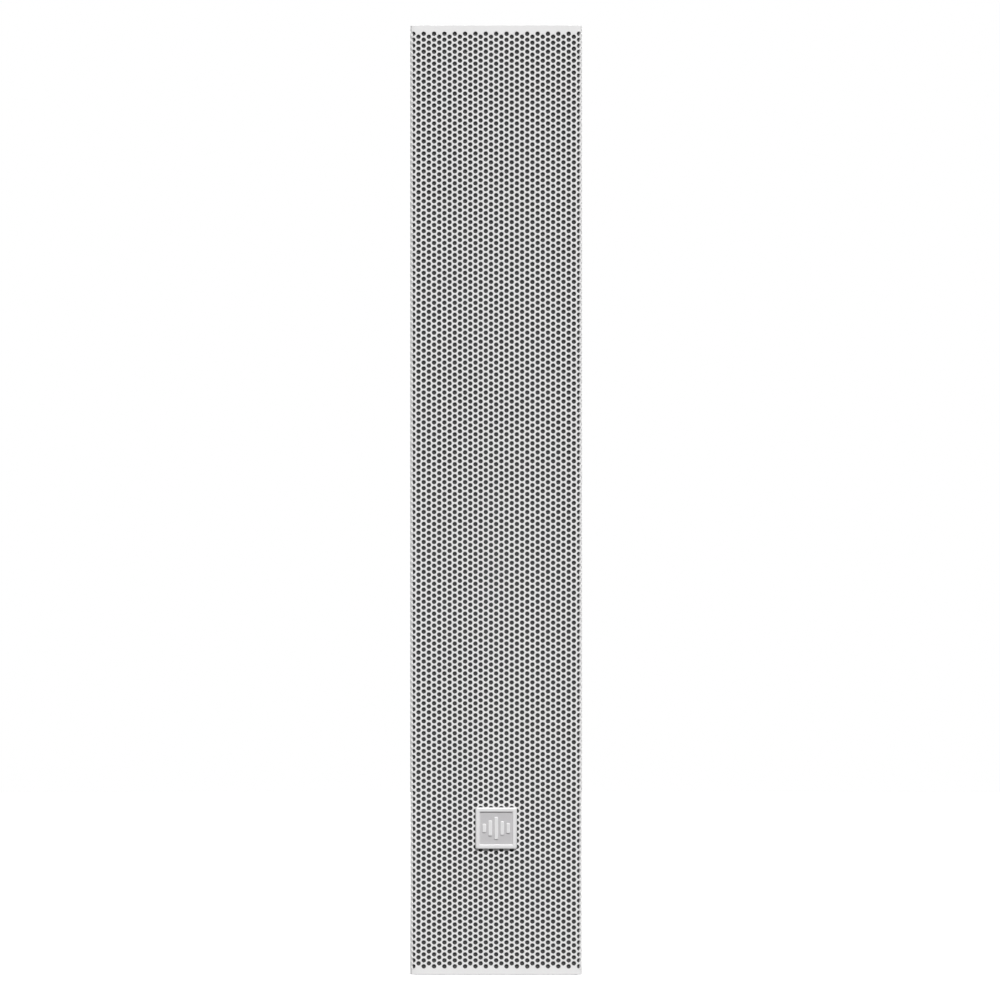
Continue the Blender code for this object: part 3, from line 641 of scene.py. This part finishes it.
def enclosure():
    """The extrusion: stepped-in sides for the grille, baffle ledges, screw bosses and two T slots."""
    low, high = box("enclosure")
    half, rear, rebate = high.x, high.y, grille_high.y + GAP
    inner, front_half = half - WALL, REBATE_WIDTH / 2
    front_inner = front_half - WALL
    corner = (half - REAR_RADIUS, rear - REAR_RADIUS)
    floor = rear - SLOT_LIP - SLOT_DEPTH
    outer_side = [(front_half, low.y), (front_half, rebate), (half, rebate)]
    outer_side += arc(corner, REAR_RADIUS, 0, 90, 16)
    mouth, wide = SLOT_MOUTH / 2, SLOT_WIDTH / 2
    for x, y in ((mouth, rear), (mouth, rear - SLOT_LIP), (wide, rear - SLOT_LIP), (wide, floor),
                 (-wide, floor), (-wide, rear - SLOT_LIP), (-mouth, rear - SLOT_LIP), (-mouth, rear)):
        outer_side.append((SLOT_X + x, y))
    inner_side = [
        (front_inner, low.y),
        (front_inner, LEDGE_FRONT), (LEDGE_WIDTH / 2, LEDGE_FRONT),
        (LEDGE_WIDTH / 2, LEDGE_FRONT + LEDGE), (front_inner, LEDGE_FRONT + LEDGE),
        (front_inner, rebate + WALL), (inner, rebate + WALL),
    ]
    boss = (BOSS_X, BOSS_Y)
    meet = math.degrees(math.acos((inner - BOSS_X) / BOSS_RADIUS))
    split = 180 - BOSS_SPLIT
    inner_side += arc(boss, BOSS_RADIUS, -meet, -split, 12)
    inner_side += arc(boss, BOSS_BORE, -split, split, 18)
    inner_side += arc(boss, BOSS_RADIUS, split, meet, 12)
    inner_side += arc(corner, REAR_RADIUS - WALL, 0, 90, 12)
    bulge = wide + SLOT_WALL
    inner_side += [
        (SLOT_X + bulge, rear - WALL), (SLOT_X + bulge, floor - SLOT_WALL),
        (SLOT_X - bulge, floor - SLOT_WALL), (SLOT_X - bulge, rear - WALL),
    ]
    outline = outer_side + mirrored(outer_side)
    outline += [(-u, v) for u, v in inner_side] + list(reversed(inner_side))
    shell = extrude("extrusion", eased(outline, 0.5), low.z, high.z, "Z")
    opening = rounded_rectangle(DISH_WIDTH + 2 * GAP, DISH_HEIGHT + 2 * GAP, 1.5)
    hole = extrude("opening", opening, rear - 5, rear + 5, "Y", (0, 0, middle("terminal_panel").z))
    combine(shell, "DIFFERENCE", [hole])
    show(shell, "cabinet", WHITE_RAIL, "enclosure")


def end_cap(node, inward):
    """A moulded cap with round edges and counterbored screw holes; inward is up (1) or down (-1)."""
    low, high = box(node)
    outer = low.z if inward > 0 else high.z
    wide, rear, rebate = high.x, high.y, grille_high.y + GAP
    inset = wide - (SHEET + CLOTH + 2 * GAP)
    corner = (inset - 1.0, low.y + 1.0)
    side = arc(corner, 1.0, -90, 0, 6) + [(inset, rebate), (wide, rebate)]
    side += arc((wide - REAR_RADIUS, rear - REAR_RADIUS), REAR_RADIUS, 0, 90, 16)
    cap = extrude(f"{node}_moulding", side + mirrored(side), low.z, high.z, "Z")
    holes = []
    for number, x in enumerate((-BOSS_X, BOSS_X)):
        profile = [(0, -1), (3.6, -1), (3.6, 2.4), (1.7, 2.4), (1.7, 6), (0, 6)]
        profile = [(radius, outer + inward * depth) for radius, depth in profile]
        holes.append(turned(f"counterbore_{number}", profile, "Z", (x, BOSS_Y, 0), 32))
    combine(cap, "DIFFERENCE", holes)
    round_edges(cap, 0.4)
    show(cap, "cabinet", WHITE_PLASTIC, node)
    for name in ("left", "right"):
        screw = f"{node}_screw_{name}"
        start, end = box(screw)
        place = middle(screw)
        head = start.z if inward > 0 else end.z
        bolt(f"{node}_socket_screw_{name}", "Z", (place.x, place.y, 0), (head, inward, end.z - start.z),
             head_size=(3.3, 1.8), shank=1.4, socket=1.25, replaces=screw, dome=0.7)


def hexagon(radius, turn=0.0):
    """Outline of a regular hexagon."""
    return arc((0, 0), radius, turn, turn + 300, 5)


def bolt(name, axis, place, run, head_size, shank, socket, body="cabinet", replaces=(), dome=0.4,
         pitch=0.7):
    """A screw with a domed head, a hexagon socket and a threaded shank.

    run is (height of the head's face along axis, direction of the shank, whole length).
    """
    start, way, length = run
    radius, thick = head_size
    profile = [(0, 0)]
    profile += [(radius - dome + dome * math.sin(math.radians(a)), dome - dome * math.cos(math.radians(a)))
                for a in (0, 22.5, 45, 67.5, 90)]
    profile += [(radius, thick - 0.2), (radius - 0.2, thick), (shank, thick)]
    threads = int((length - thick - 1.5) / pitch)
    for turn in range(threads):
        root = thick + 0.8 + turn * pitch
        profile += [(shank, root), (shank - 0.3 * pitch, root + pitch / 2)]
    profile += [(shank, length - 0.6), (shank - 0.5, length), (0, length)]
    piece = turned(name, [(r, start + way * depth) for r, depth in profile], axis, place, 40)
    low, high = sorted((start - way, start + way * (thick * 0.55)))
    combine(piece, "DIFFERENCE", [extrude("socket", hexagon(socket), low, high, axis, place)])
    return show(piece, body, ZINC, replaces)


def hex_nut(name, axis, place, low, high, body):
    """An M6 hexagon nut with chamfered corners."""
    nut = extrude(name, hexagon(NUT_RADIUS, 30.0), low, high, axis, place)
    face, corner = NUT_RADIUS * 0.88, NUT_RADIUS + 0.1
    barrel = [(0, low), (face, low), (corner, low + 0.5), (corner, high - 0.5), (face, high), (0, high)]
    # 50 sides, so that no edge of the barrel meets a corner of the hexagon
    combine(nut, "INTERSECT", [turned("barrel", barrel, axis, place, 50)])
    wide, bore = NUT_BORE + 0.3, NUT_BORE
    hole = [
        (0, low - 1), (wide, low - 1), (wide, low), (bore, low + 0.3),
        (bore, high - 0.3), (wide, high), (wide, high + 1), (0, high + 1),
    ]
    combine(nut, "DIFFERENCE", [turned("bore", hole, axis, place, 32)])
    show(nut, body, ZINC)


# ---------- connection panel

def connection_panel():
    """The dished panel with its screws, power marks, plug-in connector and selector knob."""
    low, high = box("terminal_panel")
    header, knob = middle("input_header"), middle("selector_knob")
    centre = middle("terminal_panel").z
    outer, back, face = low.y, high.y - FLANGE, high.y
    dish = rounded_rectangle(DISH_WIDTH, DISH_HEIGHT, 1.5)
    inside = rounded_rectangle(DISH_WIDTH - 2 * DISH_WALL, DISH_HEIGHT - 2 * DISH_WALL, 1.0)
    flange = rounded_rectangle(high.x - low.x, high.z - low.z, 3.0)
    rings = [(dish, outer), (dish, back), (flange, back), (flange, face), (inside, face),
             (inside, DISH_FLOOR)]
    panel = loft("connection_panel", rings, "Y", (0, 0, centre))
    cuts = [
        drill("shaft_hole", "Y", 3.5, outer - 2, DISH_FLOOR + 2, (0, 0, knob.z), 32),
        extrude("header_hole", rounded_rectangle(22.6, 9.0, 0.4), outer - 2, DISH_FLOOR + 2, "Y",
                (0, 0, header.z)),
    ]
    screws = [(x * PANEL_SCREW_X, centre + z * PANEL_SCREW_Z) for x in (-1, 1) for z in (-1, 1)]
    cuts += [drill("seat", "Y", 2.0, face - 0.6, face + 1, (x, 0, z), 32) for x, z in screws]
    combine(panel, "DIFFERENCE", cuts)
    round_edges(panel, 0.3, 2)
    show(panel, "cabinet", BLACK_PLASTIC, "terminal_panel")
    for number, (x, z) in enumerate(screws, 1):
        bolt(f"panel_screw_{number}", "Y", (x, 0, z), (face + 0.6, -1, 9.0), head_size=(1.7, 1.1),
             shank=0.95, socket=0.75, dome=0.5, pitch=0.6)
    power_marks((0, 0, knob.z))
    selector_knob(knob)
    connector(header)


def power_marks(place):
    """Five marks round the knob, one for each setting, that grow with its power."""
    for number in range(5):
        angle = math.radians(30 * number)
        width, length = 0.7 + 0.24 * number, 1.2 + 0.5 * number
        outline = []
        for u, v in rounded_rectangle(width, length, 0.3, 4):
            out = 9.6 + length / 2 + v
            outline.append((u * math.cos(angle) + out * math.sin(angle),
                            out * math.cos(angle) - u * math.sin(angle)))
        mark = extrude(f"power_mark_{number + 1}", outline, DISH_FLOOR - 0.02, DISH_FLOOR + 0.25, "Y", place)
        show(round_edges(mark, 0.08, 2), "cabinet", WHITE_INK)


def selector_knob(place):
    """A fluted knob on its shaft, with a white line set in its face."""
    low, high = box("selector_knob")
    radius, start, face = high.x, DISH_FLOOR + 0.5, high.y
    spot = (0, 0, place.z)

    def circle(size, flutes=0.0):
        """A circle with 18 shallow flutes in it."""
        points = []
        for i in range(144):
            angle = 2 * math.pi * i / 144
            reach = size - flutes * max(0.0, math.cos(18 * angle)) ** 2
            points.append((reach * math.cos(angle), reach * math.sin(angle)))
        return points

    rings = [
        (circle(2.8), low.y), (circle(3.0), low.y + 0.2), (circle(3.0), start),
        (circle(radius - 0.3), start), (circle(radius), start + 0.3), (circle(radius), start + 1.4),
        (circle(radius - 0.25, 0.1), start + 1.6), (circle(radius - 0.35, 0.45), start + 2.2),
        (circle(radius - 0.6, 0.45), face - 1.0), (circle(radius - 0.75, 0.25), face - 0.45),
        (circle(radius - 1.1), face - 0.1), (circle(radius - 1.6), face),
    ]
    knob = loft("fluted_knob", rings, "Y", spot)
    groove = rounded_rectangle(1.8, 2 * radius + 4, 0.2, 2)
    combine(knob, "DIFFERENCE", [extrude("groove", groove, face - 1.2, face + 1, "Y", spot)])
    show(knob, "knob", BLACK_PLASTIC, "selector_knob")
    line = rounded_rectangle(1.5, radius - 1.6, 0.3, 4)
    pointer = extrude("knob_pointer", line, face - 1.2, face - 0.5, "Y", (0, 0, place.z + radius / 2))
    show(round_edges(pointer, 0.12, 2), "knob", WHITE_INK)


def connector(place):
    """A four-way header and the plug in it, with clamp screws and wire cages."""
    low, high = box("input_header")
    spot, tall = (0, 0, place.z), high.z - low.z
    shell, socket = rounded_rectangle(22.0, tall, 0.4, 3), rounded_rectangle(20.4, tall - 1.6, 0.3, 3)
    rings = [(shell, low.y), (shell, high.y), (socket, high.y), (socket, high.y - 7.6)]
    header = loft("connector_header", rings, "Y", spot)
    show(round_edges(header, 0.15, 2), "cabinet", GREEN_PLASTIC, "input_header")

    low, high = box("input_plug")
    shoulder, back, tall = 44.4, high.y, high.z - low.z
    tongue, block = rounded_rectangle(19.6, 6.0, 0.3, 3), rounded_rectangle(22.0, tall, 0.4, 3)
    rings = [(tongue, low.y), (tongue, shoulder), (block, shoulder), (block, back)]
    plug = loft("connector_plug", rings, "Y", spot)
    ways = [WAY_PITCH * (way - (WAYS - 1) / 2) for way in range(WAYS)]
    top, wire, screw = tall / 2, place.z - 1.4, back - 4.2
    entry, gap = rounded_rectangle(3.7, 4.3, 0.5, 3), rounded_rectangle(0.6, 4.0, 0.1, 1)
    cuts = [extrude("entry", entry, back - 6.5, back + 1, "Y", (x, 0, wire)) for x in ways]
    cuts += [drill("well", "Z", 1.75, top - 3, top + 1, (x, screw, place.z), 32) for x in ways]
    for x in ways[:-1]:
        between = (x + WAY_PITCH / 2, 0, place.z + top + 1.4)
        cuts.append(extrude("rib_gap", gap, shoulder + 0.8, back + 1, "Y", between))
    combine(plug, "DIFFERENCE", cuts)
    show(round_edges(plug, 0.15, 2), "plug", GREEN_PLASTIC, "input_plug")

    sleeve, mouth = rounded_rectangle(3.4, 4.0, 0.4, 3), rounded_rectangle(2.5, 3.0, 0.3, 3)
    rings = [(sleeve, back - 6.4), (sleeve, back - 1.6), (mouth, back - 1.6), (mouth, back - 5.4)]
    profile = [(0, top - 2.9), (1.6, top - 2.9), (1.6, top - 1.5), (1.45, top - 1.3), (0, top - 1.25)]
    for number, x in enumerate(ways, 1):
        show(loft(f"wire_cage_{number}", rings, "Y", (x, 0, wire)), "plug", ZINC)
        spot = (x, screw, place.z)
        head = turned(f"clamp_screw_{number}", profile, "Z", spot, 32)
        slot = extrude("slot", rounded_rectangle(4.0, 0.45, 0.1, 1), top - 2.1, top, "Z", spot)
        show(combine(head, "DIFFERENCE", [slot]), "plug", ZINC)


# ---------- wall bracket

def tab(base, centre, radius):
    """Outline of a tab from base to a round end about centre."""
    return arc((centre, 0), radius, -90, 90, 20) + [(base, radius), (base, -radius)]


def bracket():
    """The plate on the T slots, the cast arm, the wall plate and their bolts."""
    low, high = box("cabinet_bracket")
    tilt, pan = middle("tilt_bolt"), middle("pan_bolt")
    level = middle("cabinet_bracket").z
    spot = (0, 0, level)
    outline = rounded_rectangle(high.x - low.x, high.z - low.z, 4.0)
    plate = extrude("slot_plate", outline, low.y, low.y + PLATE, "Y", spot)
    ear = tab(low.y + 1.0, tilt.y, TAB_RADIUS)
    combine(plate, "UNION", [extrude("ear", ear, x, x + PLATE, "X", spot) for x in EARS])
    bolts = {name: middle(name) for name in ("rail_bolt_left", "rail_bolt_right")}
    holes = [drill("tilt_hole", "X", BOLT_HOLE, -25, 25, (0, tilt.y, level))]
    for place in bolts.values():
        holes.append(drill("rail_hole", "Y", BOLT_HOLE, low.y - 4, low.y + 8, (place.x, 0, level)))
    combine(plate, "DIFFERENCE", holes)
    show(round_edges(plate, 0.6), "cabinet", WHITE_COAT, "cabinet_bracket")
    for name, place in bolts.items():
        rail_bolt(name, (place.x, 0, level))
    cast_arm(tilt, pan)
    wall_side(pan)

    start, end = box("tilt_bolt")
    place = (0, tilt.y, level)
    bolt("tilt_cap_screw", "X", place, (end.x, -1, end.x - start.x), replaces="tilt_bolt", **M6)
    hex_nut("tilt_nut", "X", place, start.x + 0.4, EARS[0] - 0.05, "cabinet")
    start, end = box("pan_bolt")
    place = (0, pan.y, 0)
    bolt("pan_cap_screw", "Z", place, (end.z, -1, end.z - start.z), body="wall_mount",
         replaces="pan_bolt", **M6)
    hex_nut("pan_nut", "Z", place, start.z + 0.4, level + LUGS[0] - 0.05, "wall_mount")


def rail_bolt(name, place):
    """A button-head screw through the plate, and its nut in the T slot."""
    start, end = box(name)
    bolt(f"{name}_button_head", "Y", place, (end.y, -1, end.y - start.y), head_size=(5.2, 3.2),
         shank=2.6, socket=1.7, replaces=name, dome=2.4)
    node = name.replace("bolt", "nut")
    start, end = box(node)
    nut = extrude(name.replace("bolt", "slot_nut"), rounded_rectangle(10.6, 14.0, 0.6, 3), start.y, end.y,
                  "Y", place)
    combine(nut, "DIFFERENCE", [drill("bore", "Y", 2.9, start.y - 2, end.y + 2, place)])
    show(round_edges(nut, 0.3, 2), "cabinet", ZINC, node)


def cast_arm(tilt, pan):
    """The swivel arm: a barrel across, and a tongue to the pan bolt."""
    half, place = box("swivel_arm")[1].x, (0, tilt.y, tilt.z)
    arm = drill("cast_swivel_arm", "X", TAB_RADIUS, -half, half, place)
    tongue = [(v, u) for u, v in tab(tilt.y, pan.y, TAB_RADIUS)]
    combine(arm, "UNION", [extrude("tongue", tongue, -7.0, 7.0, "Z", (0, 0, tilt.z))])
    combine(arm, "DIFFERENCE", [
        drill("tilt_hole", "X", BOLT_HOLE, -20, 20, place),
        drill("pan_hole", "Z", BOLT_HOLE, -20, 20, (0, pan.y, tilt.z)),
    ])
    show(round_edges(arm, 0.9), "arm", CAST_COAT, "swivel_arm")


def wall_side(pan):
    """The plate on the wall with its two lugs and four screw holes."""
    low, high = box("wall_plate")
    level = middle("wall_plate").z
    spot = (0, 0, level)
    outline = rounded_rectangle(high.x - low.x, high.z - low.z, 5.0)
    plate = extrude("wall_flange", outline, high.y - PLATE, high.y, "Y", spot)
    lug = [(-10.0, high.y - 1.0), (10.0, high.y - 1.0)] + arc((0, pan.y), 10.0, 0, -180, 24)
    combine(plate, "UNION", [extrude("lug", lug, z, z + PLATE, "Z", spot) for z in LUGS])
    holes = [drill("pan_hole", "Z", BOLT_HOLE, -20, 20, (0, pan.y, level))]
    for x in (-22, 22):
        for z in (-30, 30):
            holes.append(drill("wall_hole", "Y", 2.75, high.y - 6, high.y + 4, (x, 0, level + z)))
    combine(plate, "DIFFERENCE", holes)
    show(round_edges(plate, 0.6), "wall_mount", WHITE_COAT, "wall_plate")


# ---------- inside the cabinet

def basket(number, place):
    """The driver's frame: a round flange and seats for spider and motor, joined by four posts."""
    profile = [
        (39.5, -2.3), (39.5, -0.6), (39.2, -0.3), (34.8, -0.3), (34.8, 3.3), (27.7, 12.0),
        (27.7, 14.8), (20.0, 14.8), (20.0, 24.0), (11.0, 24.0), (11.0, 22.5), (18.5, 22.5),
        (18.5, 13.3), (26.2, 13.3), (26.2, 12.0), (33.2, 3.3), (33.2, -2.3),
    ]
    shell = turned(f"driver_basket_{number}", profile, "Y", place, 64)
    windows = []
    for angle in (45, 135, 225, 315):
        wedge = [(0, 0)] + arc((0, 0), 45.0, angle - 33, angle + 33, 12)
        windows.append(extrude("window", wedge, 3.6, 11.7, "Y", place))
    combine(shell, "DIFFERENCE", windows)
    show(shell, "cabinet", BLACK_STEEL, f"driver_frame_{number}")


def flex(piece, material, node, body, inner, outer):
    """Show a round piece that follows the cone inside the radius inner and the basket outside outer.
    """
    axis = middle(node)
    show(piece, None, material, node)
    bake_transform(piece, "cabinet", body, start=(outer * MM, 0.0, 0.0), end=(inner * MM, 0.0, 0.0))
    for vertex, weight in zip(piece.data.vertices, piece.data.attributes["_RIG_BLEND"].data):
        radius = math.hypot(vertex.co.x / MM - axis.x, vertex.co.z / MM - axis.z)
        share = min(max((outer - radius) / (outer - inner), 0.0), 1.0)
        weight.value = share * share * (3.0 - 2.0 * share)


def driver(number):
    """One driver. Its profiles are (radius, depth behind the baffle's front face)."""
    place = (0, box("baffle")[0].y, middle(f"driver_frame_{number}").z)
    body = f"diaphragm_{number}"
    basket(number, place)
    profile = [
        (0, 38.3), (19.2, 38.3), (19.5, 38.0), (19.5, 35.3), (20.0, 35.2), (20.0, 27.4),
        (19.6, 27.3), (19.6, 24.3), (9.8, 24.3), (9.8, 27.3), (11.5, 27.3), (11.5, 35.3),
        (8.2, 35.3), (8.2, 24.0), (0, 24.0),
    ]
    motor = turned(f"motor_{number}", profile, "Y", place)
    show(motor, "cabinet", FERRITE, f"magnet_{number}")

    dust_cap = arc((0, 19.0), 15.8, -90, -48.5, 8)
    profile = dust_cap + [
        (27.5, -1.8), (27.5, -1.0), (9.4, 10.6), (9.4, 29.5), (8.6, 29.5), (8.6, 9.4), (5.0, 5.8), (0, 4.4),
    ]
    cone = turned(f"paper_cone_{number}", profile, "Y", place, 72)
    show(cone, body, PAPER, f"cone_{number}")

    profile = arc((30.4, -2.6), 2.6, -180, -8, 12) + [(36.8, -3.3), (36.8, -2.6)]
    profile += arc((30.4, -2.6), 1.9, 0, -180, 12) + [(28.5, -1.2), (27.8, -1.2)]
    roll = turned(f"half_roll_{number}", profile, "Y", place, 64)
    flex(roll, RUBBER, f"surround_{number}", body, 28.6, 32.4)

    front, back = [], []
    for step in range(37):
        radius = 25.8 - 16.1 * step / 36
        depth = 11.75 + 0.35 * math.cos(10 * math.pi * step / 36)
        front.append((radius, depth))
        back.append((radius, depth + 0.5))
    spider = turned(f"corrugated_spider_{number}", front + back[::-1], "Y", place, 64)
    flex(spider, SPIDER_CLOTH, f"spider_{number}", body, 10.5, 19.0)


def wadding():
    """The pad of wadding: a slab with crowned faces and soft, uneven edges."""
    low, high = box("acoustic_foam")
    centre, half = (low + high) / 2, (high - low) / 2
    shape = bmesh.new()
    bmesh.ops.create_cube(shape, size=2.0)
    for axis, cuts in enumerate((26, 6, 96)):
        edges = []
        for edge in shape.edges:
            length = abs((edge.verts[0].co - edge.verts[1].co)[axis])
            if abs(length - 2.0) < 1e-6:
                edges.append(edge)
        bmesh.ops.subdivide_edges(shape, edges=edges, cuts=cuts, use_grid_fill=True)
    points = []
    for vertex in shape.verts:
        x, y, z = vertex.co
        pulled_in = 1.0 - 0.12 * (x ** 8 + z ** 40)             # thinner towards the pad's edges
        crown = 0.86 + 0.08 * (1 - x ** 4) * (1 - z ** 12)
        place = centre + Vector((
            half.x * x * (1 - 0.04 * y ** 4),
            half.y * y * pulled_in * crown,
            half.z * z * (1 - 0.008 * y ** 4),
        ))
        swell = blender_noise.noise(place * 0.06) + 0.5 * blender_noise.noise(place * 0.17)
        points.append(place - 0.55 * (1 + swell) * vertex.co.normalized())
    shape.verts.index_update()
    faces = [[vertex.index for vertex in face.verts] for face in shape.faces]
    shape.free()
    pad = add_piece("wadding_pad", points, faces)
    show(pad, "cabinet", WADDING, "acoustic_foam", sharp=180.0, even=False)


def inner_finishes():
    """Give each CAD node that still shows a finish by its slot."""
    finishes = {
        "baffle_steel": BLACK_STEEL, "circuit_board": BOARD, "panel_plastic": BLACK_PLASTIC,
        "core_steel": CORE_STEEL, "winding_copper": TAPE, "loom_sleeve": SLEEVE,
    }
    slots = {part["node"]: part["material_slot"] for part in frame["record"]["subparts"]}
    for name, node in frame["nodes"].items():
        for place in node.material_slots:
            place.material = finishes.get(slots[name], BLACK_PLASTIC)


# ---------- stage

def sun(name, energy, azimuth, elevation, spread):
    """A soft distant light; azimuth 0 shines from in front of the grille, 90 from the right."""
    light = bpy.data.lights.new(name, "SUN")
    light.energy = energy
    light.angle = math.radians(spread)
    lamp = bpy.data.objects.new(name, light)
    lamp.rotation_euler = Euler((math.radians(90 - elevation), 0.0, math.radians(azimuth)))
    bpy.context.scene.collection.objects.link(lamp)


def studio():
    """A pale floor, soft light, a white surround and the camera."""
    scene = bpy.context.scene
    scene.view_settings.view_transform = "Standard"
    low, high = cad_bounds
    outline = [(u / MM, v / MM) for u, v in arc((0.0, 0.0), 3.0, 0, 357.5, 143)]
    floor = extrude("floor", outline, -10.0, 0.0, "Z")
    floor.data.materials.append(finish("floor_paper", (0.93, 0.93, 0.93), 0.9, size=1.5, depth=0.02,
                                       mottle=0.004, Emission_Color=(1.0, 1.0, 1.0, 1.0),
                                       Emission_Strength=0.62))
    floor.visible_diffuse = False
    floor.visible_glossy = False
    sun("key", 3.25, 11.0, 36.0, 7.0)
    sun("overhead", 0.2, 0.0, 80.0, 30.0)
    sun("rear_right", 1.5, 140.0, 14.0, 35.0)
    sun("rear_left", 1.5, 220.0, 14.0, 35.0)
    world = bpy.data.worlds.new("surround")
    world.use_nodes = True
    tree = world.node_tree
    tree.nodes.clear()
    seen = add_node(tree, "ShaderNodeLightPath").outputs["Is Camera Ray"]
    soft = add_node(tree, "ShaderNodeBackground", Color=(1.0, 1.0, 1.0, 1.0), Strength=0.2)
    white = add_node(tree, "ShaderNodeBackground", Color=(1.0, 1.0, 1.0, 1.0), Strength=1.0)
    mix = add_node(tree, "ShaderNodeMixShader", Fac=seen)
    tree.links.new(soft.outputs[0], mix.inputs[1])
    tree.links.new(white.outputs[0], mix.inputs[2])
    out = add_node(tree, "ShaderNodeOutputWorld")
    tree.links.new(mix.outputs[0], out.inputs["Surface"])
    scene.world = world
    lens = bpy.data.cameras.new("camera")
    lens.lens = LENS
    lens.sensor_width = SENSOR
    camera = bpy.data.objects.new("camera", lens)
    distance = LENS / SENSOR * (high.z - low.z) / OBJECT_SHARE
    camera.location = (OFF_CENTRE * MM, FRONT * MM - distance, CAMERA_HEIGHT * MM)
    camera.rotation_euler = Euler((math.radians(90), 0.0, 0.0))
    scene.collection.objects.link(camera)
    scene.camera = camera


studio()
grille()
badge()
enclosure()
end_cap("bottom_cap", 1)
end_cap("top_cap", -1)
connection_panel()
bracket()
for number in range(1, DRIVERS + 1):
    driver(number)
wadding()
inner_finishes()
